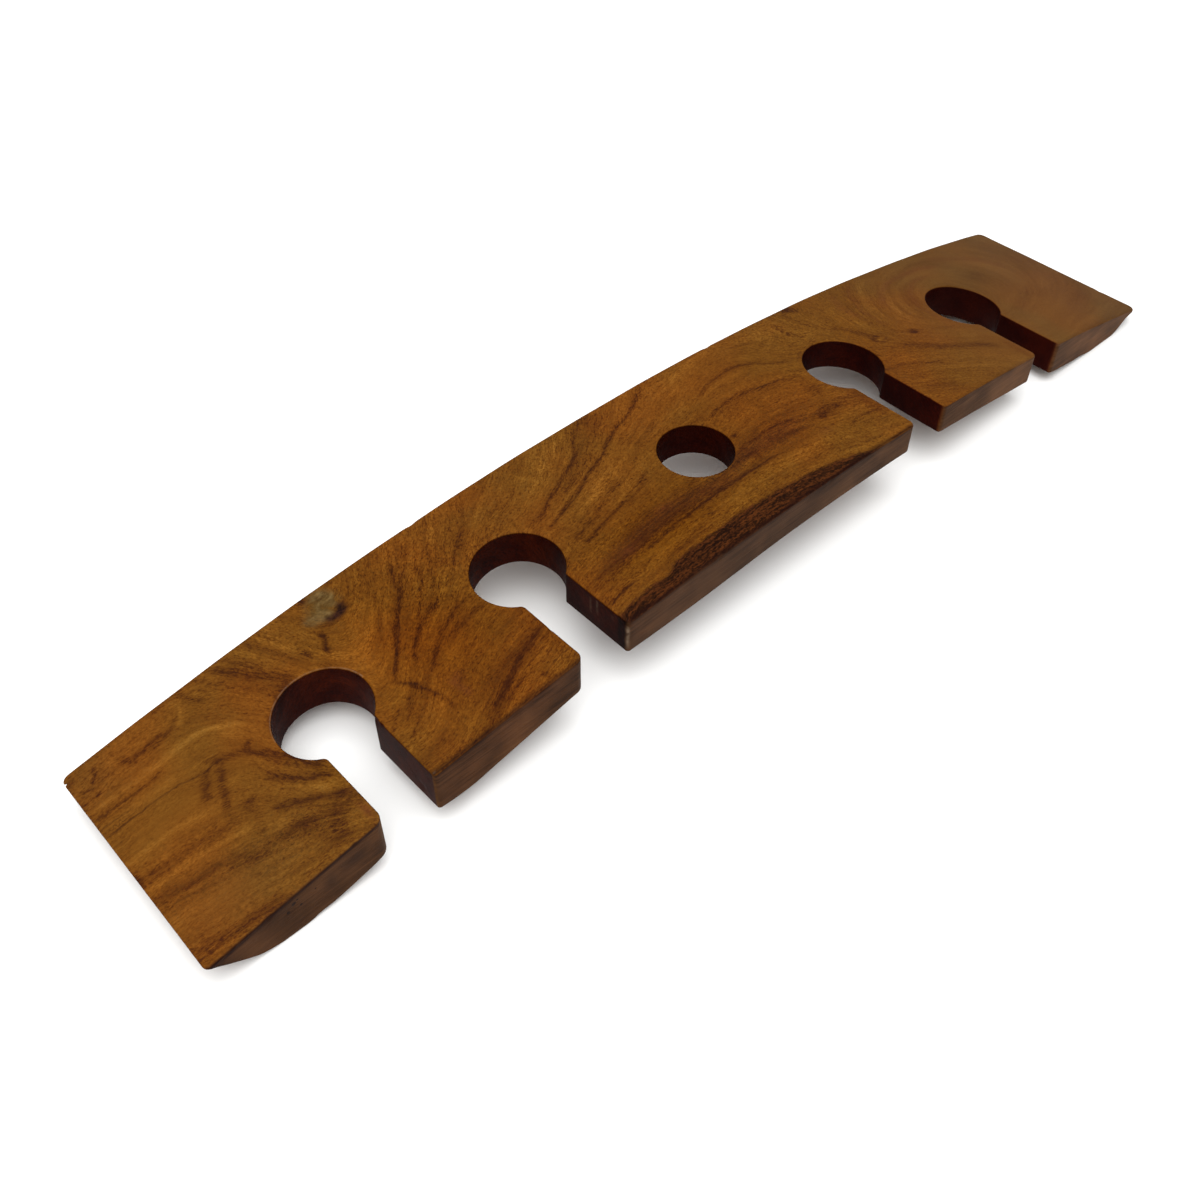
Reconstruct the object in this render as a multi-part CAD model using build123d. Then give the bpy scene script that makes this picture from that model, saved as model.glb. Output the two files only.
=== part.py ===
from build123d import *
import os

# One-piece bowed wooden board. Four glasses hang by their stems in keyhole
# slots and the round centre hole drops over the neck of a bottle.
# Millimetres. +Z up, +X along the board, slot mouths on the -Y edge.
# The board is drawn round the axis of its centre hole, then moved so that the
# origin is the middle of its box on the plane both ends rest on.

# driving dimensions
x_left = -287.5            # left end
x_right = 298.5            # right end
y_front = -53.2            # long edge with the slot mouths
y_rear = 51.8              # plain long edge
bow_radius = 1318.0        # lengthwise bow of the top face
bow_x = -10.5              # where the bow is highest
bow_z = 45.14              # height of the top face there
edge_z = 1.2               # blunt height of the thin end edges

hole_d = 35.0              # centre hole, drops over a bottle neck
key_d = 40.0               # round part of each glass slot
slots = [                  # centre of round part, centre of neck, neck width
    (-201.2, -200.2, 22.9),
    (-104.0, -103.4, 23.2),
    (103.0, 102.6, 22.1),
    (204.0, 204.1, 20.0),
]
mouth_round_left = 4.0     # corner of a slot mouth on its left side
mouth_round_right = 1.5    # corner of a slot mouth on its right side
neck_round = 2.5           # round part running into the neck, left side
edge_break = 0.7           # eased edges of the top face

# underside: (x, thickness below the bow) between the two rest flats
rest_left = (-260.0, -250.0)
rest_right = (261.0, 274.0)
under = [
    (-236.0, 23.0), (-212.0, 21.6), (-180.0, 22.9), (-150.0, 21.8),
    (-125.0, 19.8), (-100.0, 18.4), (-55.0, 18.6), (0.0, 17.3), (50.0, 16.5),
    (100.0, 15.9), (150.0, 16.2), (195.0, 17.0), (220.0, 18.9), (243.0, 18.6),
]


def z_top(x):
    return bow_z - bow_radius + (bow_radius**2 - (x - bow_x) ** 2) ** 0.5


# side profile on XZ: one arc on top, an easy curve beneath, ends swept up from
# the underside to a thin edge at the top face; it runs past both ends and the
# plan outline trims it
over = 6.0
xa, xb = x_left - over, x_right + over
with BuildSketch(Plane.XZ) as side:
    with BuildLine():
        ThreePointArc((xa, z_top(xa)), (bow_x, bow_z), (xb, z_top(xb)))
        Line((xa, z_top(xa)), (xa, z_top(xa) - edge_z))
        Line((xa, z_top(xa) - edge_z), (x_left, z_top(x_left) - edge_z))
        Spline((x_left, z_top(x_left) - edge_z), (-279.2, 9.2), (-270.0, 2.6), (rest_left[0], 0.0),
               tangents=((0.75, -0.66), (1, 0)))
        Line((rest_left[0], 0.0), (rest_left[1], 0.0))
        Spline((rest_left[1], 0.0), *[(x, z_top(x) - t) for x, t in under], (rest_right[0], 0.0),
               tangents=((1, 0), (1, 0)))
        Line((rest_right[0], 0.0), (rest_right[1], 0.0))
        Spline((rest_right[1], 0.0), (281.6, 2.0), (288.0, 5.2), (x_right, z_top(x_right) - edge_z),
               tangents=((1, 0), (0.9, 0.3)))
        Line((x_right, z_top(x_right) - edge_z), (xb, z_top(xb) - edge_z))
        Line((xb, z_top(xb) - edge_z), (xb, z_top(xb)))
    make_face()
slab = extrude(side.sketch, amount=200.0, both=True)

# plan outline with the corners just eased
outline = Pos((x_left + x_right) / 2, (y_front + y_rear) / 2) * Rectangle(x_right - x_left, y_rear - y_front)
for cx, cy, r in ((x_left, y_front, 2.5), (x_left, y_rear, 1.5), (x_right, y_front, 5.0), (x_right, y_rear, 4.0)):
    v = [p for p in outline.vertices() if abs(p.X - cx) < 1e-3 and abs(p.Y - cy) < 1e-3]
    outline = fillet(v, r)

# the four keyhole slots, then the centre hole
for cx, nx, w in slots:
    key = Pos(cx, 0) * Circle(key_d / 2) + Pos(nx, y_front / 2 - 15.0) * Rectangle(w, -y_front + 30.0)
    join = [p for p in key.vertices() if y_front + 5 < p.Y < -4.0 and p.X < nx]
    key = fillet(join, neck_round)
    outline = outline - key
    for mx, r in ((nx - w / 2, mouth_round_left), (nx + w / 2, mouth_round_right)):
        v = [p for p in outline.vertices() if abs(p.X - mx) < 0.05 and abs(p.Y - y_front) < 0.05]
        outline = fillet(v, r)
outline = outline - Circle(hole_d / 2)

column = Pos(0, 0, -20.0) * extrude(outline, amount=100.0)
board = slab & column

# eased edges of the top face, leaving the two thin end edges
top_face = max(board.faces(), key=lambda f: f.area if f.normal_at().Z > 0.5 else 0)
rims = [e for e in top_face.edges() if x_left + 3 < e.center().X < x_right - 6]
board = fillet(rims, edge_break)

# origin to the middle of the board's length and width
board = Pos(-(x_left + x_right) / 2, -(y_front + y_rear) / 2, 0) * board

bb = board.bounding_box()
print("volume cm3", board.volume / 1000, "valid", board.is_valid, "solids", len(board.solids()))
print(bb.min, bb.max)

os.makedirs("parts", exist_ok=True)
export_step(board.solids()[0], "parts/holder_board.step")
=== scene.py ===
import math

import bpy
import numpy as np
from mathutils import Matrix, Vector
from mathutils.geometry import delaunay_2d_cdt


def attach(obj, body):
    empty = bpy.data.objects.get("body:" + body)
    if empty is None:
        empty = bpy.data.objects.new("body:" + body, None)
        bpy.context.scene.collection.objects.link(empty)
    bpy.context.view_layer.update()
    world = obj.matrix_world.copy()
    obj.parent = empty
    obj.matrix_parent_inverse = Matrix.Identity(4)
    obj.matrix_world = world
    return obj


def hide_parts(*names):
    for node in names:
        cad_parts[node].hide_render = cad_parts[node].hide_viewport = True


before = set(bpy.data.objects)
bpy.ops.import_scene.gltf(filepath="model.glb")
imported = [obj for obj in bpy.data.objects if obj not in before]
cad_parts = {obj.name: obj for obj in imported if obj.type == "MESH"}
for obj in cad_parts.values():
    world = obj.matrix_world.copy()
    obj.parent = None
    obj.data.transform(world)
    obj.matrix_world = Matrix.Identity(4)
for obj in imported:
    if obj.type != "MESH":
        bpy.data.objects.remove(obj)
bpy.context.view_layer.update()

MM = 0.001
scene = bpy.context.scene

# ---------------------------------------------------------------- dimensions
# the same as the solid board's, in millimetres
X_LEFT, X_RIGHT, Y_FRONT, Y_REAR = -287.5, 298.5, -53.2, 51.8
BOW_R, BOW_X, BOW_Z = 1318.0, -10.5, 45.14
HOLE_R, KEY_R = 17.5, 20.0
SLOTS = [(-201.2, -200.2, 22.9), (-104.0, -103.4, 23.2), (103.0, 102.6, 22.1), (204.0, 204.1, 20.0)]
EDGE = 0.75
NICK_Y = 48.6            # a small nick in the left tip, near the rear corner

# thickness of the board along its length, under the bow
THICK = [
    (-287.5, 1.1), (-286.0, 1.7), (-279.2, 7.9), (-272.4, 14.2), (-268.8, 17.2), (-265.0, 19.2),
    (-261.0, 20.8), (-257.0, 22.0), (-252.0, 22.9), (-246.0, 23.3), (-238.0, 23.6), (-229.0, 23.6),
    (-220.0, 22.6), (-211.6, 21.0), (-188.6, 21.8), (-180.0, 23.2), (-172.0, 23.8), (-162.0, 23.0),
    (-149.0, 21.9), (-133.0, 20.2), (-115.0, 18.6), (-91.0, 17.9), (-78.0, 18.7), (-50.0, 19.2),
    (0.0, 17.6), (50.0, 16.3), (92.0, 15.5), (116.0, 16.1), (165.0, 16.5), (194.0, 16.2),
    (214.0, 18.9), (222.0, 19.5), (236.0, 19.0), (246.0, 18.4), (258.0, 17.5), (267.0, 16.0),
    (275.0, 14.2), (281.6, 10.8), (286.0, 6.9), (290.0, 3.9), (294.0, 2.1), (298.5, 1.2),
]


def z_top(x):
    return BOW_Z - BOW_R + np.sqrt(BOW_R**2 - (x - BOW_X) ** 2)


def pchip(xs, ys, x):
    """Monotone cubic through the points."""
    xs, ys = np.asarray(xs, float), np.asarray(ys, float)
    h, d = np.diff(xs), np.diff(ys) / np.diff(xs)
    m = np.zeros(len(xs))
    m[0], m[-1] = d[0], d[-1]
    for i in range(1, len(xs) - 1):
        if d[i - 1] * d[i] > 0:
            w1, w2 = 2 * h[i] + h[i - 1], h[i] + 2 * h[i - 1]
            m[i] = (w1 + w2) / (w1 / d[i - 1] + w2 / d[i])
    x = np.clip(x, xs[0], xs[-1])
    k = np.clip(np.searchsorted(xs, x) - 1, 0, len(h) - 1)
    t = (x - xs[k]) / h[k]
    t2, t3 = t * t, t * t * t
    return (2 * t3 - 3 * t2 + 1) * ys[k] + (t3 - 2 * t2 + t) * h[k] * m[k] + (-2 * t3 + 3 * t2) * ys[k + 1] + (t3 - t2) * h[k] * m[k + 1]


_tx, _tt = zip(*THICK)


def thick(x):
    return pchip(_tx, _tt, x)


def z_bot(x):
    return np.maximum(z_top(x) - thick(x), 0.0)


# ------------------------------------------------------------- plan outlines
def rounded(corners):
    """A closed run through corners (x, y, radius), with material on its left,
    as points."""
    pts = []
    n = len(corners)
    for i, c in enumerate(corners):
        p = np.array(c[:2], float)
        a, b = np.array(corners[i - 1][:2], float), np.array(corners[(i + 1) % n][:2], float)
        r = c[2]
        u, v = (a - p) / np.linalg.norm(a - p), (b - p) / np.linalg.norm(b - p)
        if r <= 0:
            pts.append(p)
            continue
        ang = math.acos(np.clip(u @ v, -1, 1))
        t = r / math.tan(ang / 2)
        cen = p + (u + v) / np.linalg.norm(u + v) * (r / math.sin(ang / 2))
        s, e = p + u * t, p + v * t
        a0, a1 = math.atan2(*(s - cen)[::-1]), math.atan2(*(e - cen)[::-1])
        d = (a1 - a0 + math.pi) % (2 * math.pi) - math.pi
        k = max(3, int(abs(d) * r / 0.3) + 2)
        for q in np.linspace(0, 1, k):
            pts.append(cen + r * np.array([math.cos(a0 + d * q), math.sin(a0 + d * q)]))
    return pts


def outer_path():
    """Raw corner list, with each keyhole's circle as many small corners."""
    c = [(X_LEFT, Y_FRONT, 2.6)]
    for i, (cx, nx, w) in enumerate(SLOTS):
        xl, xr = nx - w / 2, nx + w / 2
        al = math.atan2(-math.sqrt(KEY_R**2 - (xl - cx) ** 2), xl - cx)
        ar = math.atan2(-math.sqrt(KEY_R**2 - (xr - cx) ** 2), xr - cx)
        c.append((xl, Y_FRONT, 4.0))
        c.append((xl, KEY_R * math.sin(al), 3.0))
        sweep = np.linspace(al - math.radians(9), ar + math.radians(3.6) - 2 * math.pi, 150)
        for a in sweep:
            c.append((cx + KEY_R * math.cos(a), KEY_R * math.sin(a), 0.0))
        c.append((xr, KEY_R * math.sin(ar), 1.05))
        c.append((xr, Y_FRONT, 1.6))
    c += [(X_RIGHT, Y_FRONT, 5.0), (X_RIGHT, Y_REAR, 4.0), (X_LEFT, Y_REAR, 1.8)]
    c += [(X_LEFT, NICK_Y + 0.9, 0.15), (X_LEFT + 1.5, NICK_Y + 0.1, 0.2), (X_LEFT, NICK_Y - 0.7, 0.2)]
    return rounded(c)


def resample(pts, step):
    """Even points along a closed run, and unit outward normals (material on the left)."""
    p = np.array(pts)
    keep = np.linalg.norm(p - np.roll(p, 1, 0), axis=1) > 1e-6
    p = p[keep]
    q = np.vstack([p, p[:1]])
    seg = np.linalg.norm(np.diff(q, axis=0), axis=1)
    s = np.concatenate([[0], np.cumsum(seg)])
    # finer where the run turns
    d = np.diff(q, axis=0) / seg[:, None]
    turn = np.abs(np.arctan2(d[:, 0] * np.roll(d, -1, 0)[:, 1] - d[:, 1] * np.roll(d, -1, 0)[:, 0], (d * np.roll(d, -1, 0)).sum(1)))
    dens = np.full(len(s), 1.0)
    sharp = turn / np.maximum(seg, 0.05)
    w = 1.0 / step + np.minimum(sharp, 1.5) * 2.2
    cum = np.concatenate([[0], np.cumsum(w * seg)])
    m = int(cum[-1])
    at = np.linspace(0, cum[-1], m, endpoint=False)
    ss = np.interp(at, cum, s)
    out = np.stack([np.interp(ss, s, q[:, 0]), np.interp(ss, s, q[:, 1])], 1)
    t = np.roll(out, -1, 0) - np.roll(out, 1, 0)
    t /= np.linalg.norm(t, axis=1)[:, None]
    nrm = np.stack([t[:, 1], -t[:, 0]], 1)
    return out, nrm


def hole_path():
    k = 190
    a = -np.arange(k) / k * 2 * math.pi
    p = HOLE_R * np.stack([np.cos(a), np.sin(a)], 1)
    return p, -p / HOLE_R


# --------------------------------------------------------------------- mesh
loops = [resample(outer_path(), 1.0), hole_path()]
verts, faces, kind = [], [], []          # kind: 0 top, 1 wall, 2 underside


def add(xyz):
    i = len(verts)
    verts.extend(map(tuple, xyz))
    return np.arange(i, i + len(xyz))


def stitch(a, b, tag):
    """Quads between two closed rings, a above b, seen from outside."""
    n = len(a)
    for i in range(n):
        j = (i + 1) % n
        faces.append((a[i], b[i], b[j], a[j]))
        kind.append(tag)


rings_top, rings_bot = [], []
for pts, nrm in loops:
    x = pts[:, 0]
    zt, zb = z_top(x), z_bot(x)
    e = np.minimum(EDGE, 0.42 * (zt - zb))
    prev = None
    for f in np.linspace(0, math.pi / 2, 6):
        inset = e * (1 - math.sin(f))
        p = pts - nrm * inset[:, None]
        ring = add(np.column_stack([p, z_top(p[:, 0]) - e * (1 - math.cos(f))]))
        if prev is None:
            rings_top.append((ring, p))
        else:
            stitch(prev, ring, 1)
        prev = ring
    rows = 12
    for k in range(1, rows):
        g = (k / rows) ** 1.35
        ring = add(np.column_stack([pts, (zt - e) * (1 - g) + (zb + e) * g]))
        stitch(prev, ring, 1)
        prev = ring
    for f in np.linspace(math.pi / 2, 0, 6):
        inset = e * (1 - math.sin(f))
        p = pts - nrm * inset[:, None]
        ring = add(np.column_stack([p, z_bot(p[:, 0]) + e * (1 - math.cos(f))]))
        stitch(prev, ring, 1)
        prev = ring
        if f == 0:
            rings_bot.append((ring, p))


def inside(p, gap):
    """Points of the plan that are at least gap inside the outline."""
    x, y = p[:, 0], p[:, 1]
    ok = (x > X_LEFT + gap) & (x < X_RIGHT - gap) & (y > Y_FRONT + gap) & (y < Y_REAR - gap)
    ok &= np.hypot(x, y) > HOLE_R + gap
    ok &= np.hypot(x - X_LEFT - 0.6, y - NICK_Y - 0.1) > 1.0 + gap
    for cx, nx, w in SLOTS:
        ok &= np.hypot(x - cx, y) > KEY_R + gap
        ok &= ~((np.abs(x - nx) < w / 2 + gap) & (y < 0))
    for cx, cy, r in ((X_LEFT, Y_FRONT, 2.6), (X_RIGHT, Y_FRONT, 5.0), (X_RIGHT, Y_REAR, 4.0), (X_LEFT, Y_REAR, 1.8)):
        sx, sy = (1 if cx < 0 else -1), (1 if cy < 0 else -1)
        near = ((x - cx) * sx < r) & ((y - cy) * sy < r)
        ok &= ~(near & (np.hypot((x - cx) * sx - r, (y - cy) * sy - r) > r - gap))
    for cx, nx, w in SLOTS:
        for sx, r in ((-1, 4.0), (1, 1.6)):
            ex = nx + sx * w / 2
            u, v = (x - ex) * sx, y - Y_FRONT
            near = (u < r) & (u > -1) & (v < r)
            ok &= ~(near & (np.hypot(u - r, v - r) > r - gap))
    return ok


def cap(rings, step, top):
    """Fills a face between its rings with an even mesh."""
    gx = np.arange(X_LEFT, X_RIGHT, step)
    gy = np.arange(Y_FRONT, Y_REAR, step * 0.866)
    px, py = np.meshgrid(gx, gy)
    px[1::2] += step / 2
    rng = np.random.default_rng(5)
    g = np.stack([px.ravel(), py.ravel()], 1)
    g += rng.uniform(-0.12, 0.12, g.shape) * step
    g = g[inside(g, EDGE + 0.55 * step)]
    base = [r[0] for r in rings]
    flat = np.vstack([r[1] for r in rings] + [g])
    idx = np.concatenate(base + [np.full(len(g), -1)])
    edges, off = [], 0
    for r in rings:
        n = len(r[0])
        edges += [(off + i, off + (i + 1) % n) for i in range(n)]
        off += n
    n0 = len(rings[0][0])
    v, ed, fc, ov, oe, of_ = delaunay_2d_cdt([Vector(p) for p in flat], edges, [list(range(n0))], 1, 1e-5)
    new = add(np.column_stack([g, z_top(g[:, 0]) if top else z_bot(g[:, 0])]))
    idx[len(idx) - len(g):] = new
    back = []
    for i, o in enumerate(ov):
        if not o:
            back.append(-1)
        else:
            back.append(int(idx[o[0]]))
    vv = np.array([(p[0], p[1]) for p in v])
    count = 0
    for f in fc:
        t = [back[i] for i in f]
        if min(t) < 0 or len(set(t)) < 3:
            continue
        if max(math.hypot(*vv[i]) for i in f) < HOLE_R + EDGE + 0.05:      # inside the hole
            continue
        a, b, c3 = vv[f[0]], vv[f[1]], vv[f[2]]
        ccw = (b[0] - a[0]) * (c3[1] - a[1]) - (b[1] - a[1]) * (c3[0] - a[0]) > 0
        if ccw != top:
            t = t[::-1]
        faces.append(tuple(t))
        kind.append(0 if top else 2)
        count += 1
    return count


n_top = cap(rings_top, 1.25, True)
n_bot = cap(rings_bot, 2.2, False)

V = np.array(verts, float)

# hand sanding: the faces wander by a tenth of a millimetre or so
_x, _y, _z = V.T
_d = z_top(_x) - _z
sway = 0.10 * np.sin(_x / 17.0 + 0.6 * np.sin(_y / 13.0)) + 0.07 * np.sin(_y / 9.0 + _x / 41.0) + 0.05 * np.sin(_x / 6.1 - _y / 7.3)
low = _z < 0.6
V[:, 2] += np.where(low, 0.0, (sway - 0.22) * np.clip(np.minimum(_d, 12) / 12 * -0.4 + 1, 0, 1))
# flats left by the sander across the underside of both ends
for fx, fw, fd in ((-246, 5.0, 0.5), (-229, 6.0, 0.45), (-212, 5.0, 0.3), (243, 5.0, 0.45), (222, 6.0, 0.35)):
    under = (_d > 5.0) & (_z > 0.6)
    V[:, 2] += np.where(under, fd * np.exp(-((_x + 0.05 * _y - fx) / fw) ** 2) * np.clip((_d - 5) / 4, 0, 1), 0)
# chips and dings: centre (x, y, depth), radius, push
DINGS = [
    ((-190.0, -16.6, 1.0), 2.0, (0.9, 0.3, -0.5)), ((-189.6, -21.0, 0.4), 1.2, (0.6, 0.0, -0.4)),
    ((-190.0, -43.5, 17.5), 1.9, (0.9, 0.0, 0.9)), ((-190.1, -52.6, 9.0), 1.0, (0.3, 0.4, 0.0)),
    ((-92.3, -52.8, 1.0), 1.5, (0.5, 0.5, -0.5)), ((-92.3, -53.0, 8.0), 1.2, (0.3, 0.3, 0.0)), ((-92.2, -52.9, 14.5), 1.4, (0.4, 0.4, 0.3)),
    ((-286.6, 50.8, 0.5), 1.4, (0.4, -0.2, -0.4)), ((-262.0, -53.2, 0.6), 1.6, (0.0, 0.35, -0.25)), ((-225.0, -53.2, 0.5), 1.3, (0.0, 0.3, -0.2)),
    ((-150.0, -53.2, 0.5), 1.8, (0.0, 0.35, -0.25)), ((-116.0, -33.0, 0.4), 1.2, (-0.35, 0.0, -0.2)), ((-40.0, -53.2, 0.5), 1.5, (0.0, 0.3, -0.2)),
    ((30.0, -53.2, 0.5), 2.0, (0.0, 0.3, -0.2)), ((-214.0, -30.0, 0.4), 1.3, (-0.35, 0.0, -0.2)), ((114.0, -44.0, 0.5), 1.2, (0.3, 0.0, -0.2)),
    ((298.0, -30.0, 1.0), 1.5, (-0.4, 0.0, -0.1)), ((-120.0, 51.8, 0.4), 2.0, (0.0, -0.3, -0.15)), ((60.0, 51.8, 0.4), 2.0, (0.0, -0.3, -0.15)),
    ((-255.0, -53.2, 6.0), 0.9, (0.0, 0.5, 0.0)), ((-251.5, -53.2, 5.0), 0.7, (0.0, 0.4, 0.0)), ((-252.5, -53.2, 7.6), 0.6, (0.0, 0.4, 0.0)),
]
_b = V.copy()
for (cx, cy, cd_), r_, (px_, py_, pz_) in DINGS:
    f_ = np.exp(-(((_b[:, 0] - cx) ** 2 + (_b[:, 1] - cy) ** 2 + (_d - cd_) ** 2) / r_ ** 2))
    V += f_[:, None] * np.array([px_, py_, pz_])
SHIFT = np.array([-(X_LEFT + X_RIGHT) / 2, -(Y_FRONT + Y_REAR) / 2, 0.0])   # plan origin to the frame's
me = bpy.data.meshes.new("board")
me.from_pydata(((V + SHIFT) * MM).tolist(), [], [tuple(int(i) for i in f) for f in faces])
me.validate(verbose=False)
me.update()
board = bpy.data.objects.new("board", me)
scene.collection.objects.link(board)
for p in me.polygons:
    p.use_smooth = True

import bmesh
bm = bmesh.new()
bm.from_mesh(me)
open_edges = sum(1 for e in bm.edges if len(e.link_faces) != 2)
print("board mesh", len(bm.verts), "verts", len(bm.faces), "faces", "open edges", open_edges, "volume cm3", round(bm.calc_volume() * 1e6, 1))
bm.free()

# ------------------------------------------------------------- grain figure
# Each guide is one growth line seen on the top face: (ring value, points in mm).
GUIDES = [
    (52, [(-190, 52), (-184, 42), (-178, 33), (-170, 30), (-162, 35), (-155, 45), (-152, 52)]),
    (46, [(-203, 52), (-196, 38), (-189, 24), (-180, 12), (-172, 10), (-163, 18), (-152, 32), (-142, 45), (-137, 52)]),
    (40, [(-215, 52), (-207, 38), (-198, 22), (-187, 5), (-177, -7), (-166, 4), (-152, 19), (-140, 31), (-127, 45), (-121, 52)]),
    (32, [(-288, 46), (-262, 46), (-243, 44), (-230, 37), (-219, 25), (-208, 8), (-196, -8), (-184, -19), (-175, -18), (-164, -8), (-150, 3), (-135, 14), (-122, 24), (-110, 38), (-100, 52)]),
    (24, [(-288, 36), (-262, 36), (-245, 34), (-232, 28), (-222, 16), (-212, -2), (-202, -18), (-190, -30), (-178, -30), (-165, -20), (-150, -10), (-136, -3), (-124, 4), (-84, 25), (-70, 34), (-58, 44), (-50, 52)]),
    (16, [(-288, 27), (-262, 27), (-243, 25), (-232, 18), (-224, 6), (-214, -14), (-203, -28), (-190, -38), (-175, -37), (-160, -28), (-145, -20), (-128, -12), (-116, -8), (-84, 14), (-70, 19), (-56, 26), (-44, 35), (-34, 45), (-28, 52)]),
    (8, [(-288, 17), (-265, 15.5), (-254, 14.5), (-247, 11.5), (-240, 12.5), (-233, 5), (-226, -6), (-215, -24), (-203, -36), (-190, -45), (-176, -44), (-160, -36), (-140, -27), (-117, -20), (-84, 5), (-60, 11), (-40, 17), (-24, 25), (-8, 34), (4, 43), (12, 52)]),
    (0, [(-288, 3), (-262, 0), (-245, -3), (-235, -9), (-226, -18), (-214, -32), (-200, -44), (-165, -46), (-145, -36), (-117, -28), (-90, -10), (-70, -5), (-50, -2), (-25, 3), (-17, 5), (17, 10), (35, 15), (50, 16), (65, 13), (82, 6), (115, -12), (135, -22), (155, -33), (175, -45), (186, -54)]),
    (4, [(10, 22), (25, 27), (40, 31), (55, 33), (65, 30), (75, 24), (84, 17), (124, -8), (140, -15), (160, -27), (180, -39), (195, -50)]),
    (6.5, [(8, 33), (24, 40), (45, 45), (70, 44), (90, 34), (104, 24)]),
    (-8, [(-288, -8), (-265, -11), (-248, -15), (-236, -21), (-226, -28), (-213, -38), (-150, -47), (-130, -39), (-116, -35), (-90, -19), (-60, -13), (-30, -10), (-18, -9), (20, -2), (40, 2), (60, 0), (82, -6), (114, -28), (135, -38), (155, -50)]),
    (-16, [(-288, -20), (-268, -23), (-248, -28), (-230, -34), (-213, -44), (-135, -50), (-116, -43), (-92, -27), (-60, -21), (-35, -19), (0, -20), (18, -17), (35, -14), (55, -17), (75, -23), (92, -29), (114, -42), (130, -51)]),
    (-24, [(-288, -32), (-262, -36), (-240, -41), (-222, -47), (-213, -51), (-116, -52), (-92, -34), (-60, -29.5), (-25, -26.5), (10, -26), (30, -27), (55, -29.5), (85, -35), (92, -37)]),
    (-32, [(-288, -43), (-262, -48), (-245, -53), (-92, -42), (-70, -38), (-40, -35), (0, -34.5), (30, -36), (55, -39.5), (80, -44), (92, -47)]),
    (-40, [(-288, -53), (-93, -49), (-80, -45), (-60, -43.5), (-30, -43), (0, -42.3), (25, -43.5), (42, -46.5), (60, -50.5), (72, -54)]),
    (-50, [(-80, -54), (-40, -53), (0, -52.5), (20, -54)]),
    (44, [(187, 8), (191, 23), (203, 29), (219, 27), (230, 15), (232, 2), (222, -10)]),
    (36, [(172, 4), (176, 24), (188, 36), (208, 41), (232, 37), (252, 27), (262, 12), (256, -4), (238, -16), (217, -21)]),
    (28, [(158, 2), (158, 22), (165, 38), (176, 50), (172, -10), (186, -18), (286, 50), (296, 30), (292, 8), (276, -10), (250, -24), (217, -31)]),
    (20, [(146, 2), (144, 22), (148, 38), (154, 52), (158, -8), (172, -18), (190, -27), (298, -12), (272, -26), (245, -35), (217, -40)]),
    (14, [(134, 8), (130, 25), (130, 40), (132, 52), (148, -8), (160, -18), (176, -27), (192, -34), (298, -30), (270, -40), (240, -47), (217, -49)]),
    (8, [(112, 52), (113, 40), (118, 28), (126, 14), (134, 3), (142, -6), (152, -15), (166, -24), (182, -32), (194, -40)]),
]


def ring_field(guides, ease=0.003):
    """A smooth surface through the guides: thin-plate spline, distances in dm."""
    P = np.array([p for _, g in guides for p in g], float) / 100
    T = np.array([t for t, g in guides for _ in g], float)
    r2 = ((P[:, None] - P[None]) ** 2).sum(-1)
    n = len(P)
    A = np.zeros((n + 3, n + 3))
    A[:n, :n] = 0.5 * r2 * np.log(r2 + 1e-12) + ease * np.eye(n)
    A[:n, n], A[n, :n] = 1, 1
    A[:n, n + 1:], A[n + 1:, :n] = P, P.T
    c = np.linalg.solve(A, np.concatenate([T, np.zeros(3)]))

    def f(x, y):
        q = np.stack([x, y], 1) / 100
        out = np.empty(len(q))
        for i in range(0, len(q), 20000):
            d = q[i:i + 20000]
            r2 = ((d[:, None] - P[None]) ** 2).sum(-1)
            out[i:i + 20000] = 0.5 * (r2 * np.log(r2 + 1e-12)) @ c[:n] + c[n] + d @ c[n + 1:]
        return out
    return f


def to_line(x, y, pts):
    """Distance to a polyline, and how far along it, 0 to 1."""
    pts = np.array(pts, float)
    best, along = np.full(len(x), 1e9), np.zeros(len(x))
    seg = np.linalg.norm(np.diff(pts, axis=0), axis=1)
    acc, tot = 0.0, seg.sum()
    for a, b, L in zip(pts[:-1], pts[1:], seg):
        u = (b - a) / L
        t = np.clip((x - a[0]) * u[0] + (y - a[1]) * u[1], 0, L)
        d = np.hypot(x - a[0] - t * u[0], y - a[1] - t * u[1])
        m = d < best
        best[m], along[m] = d[m], (acc + t[m]) / tot
        acc += L
    return best, along


def blob(x, y, cx, cy, rx, ry, deg=0.0):
    c, s = math.cos(math.radians(deg)), math.sin(math.radians(deg))
    u, v = (x - cx) * c + (y - cy) * s, -(x - cx) * s + (y - cy) * c
    return np.exp(-((u / rx) ** 2 + (v / ry) ** 2))


x, y, z = V[:, 0], V[:, 1], V[:, 2]
depth = np.maximum(z_top(x) - z, 0.0)
field = ring_field(GUIDES)
ring = field(x, y)
# how fast the growth lines pass under the point, per mm
rate = np.hypot(field(x + 1.0, y) - field(x - 1.0, y), field(x, y + 1.0) - field(x, y - 1.0)) / 2
level = np.log2(np.clip(rate, 0.13, 2.6))

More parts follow.
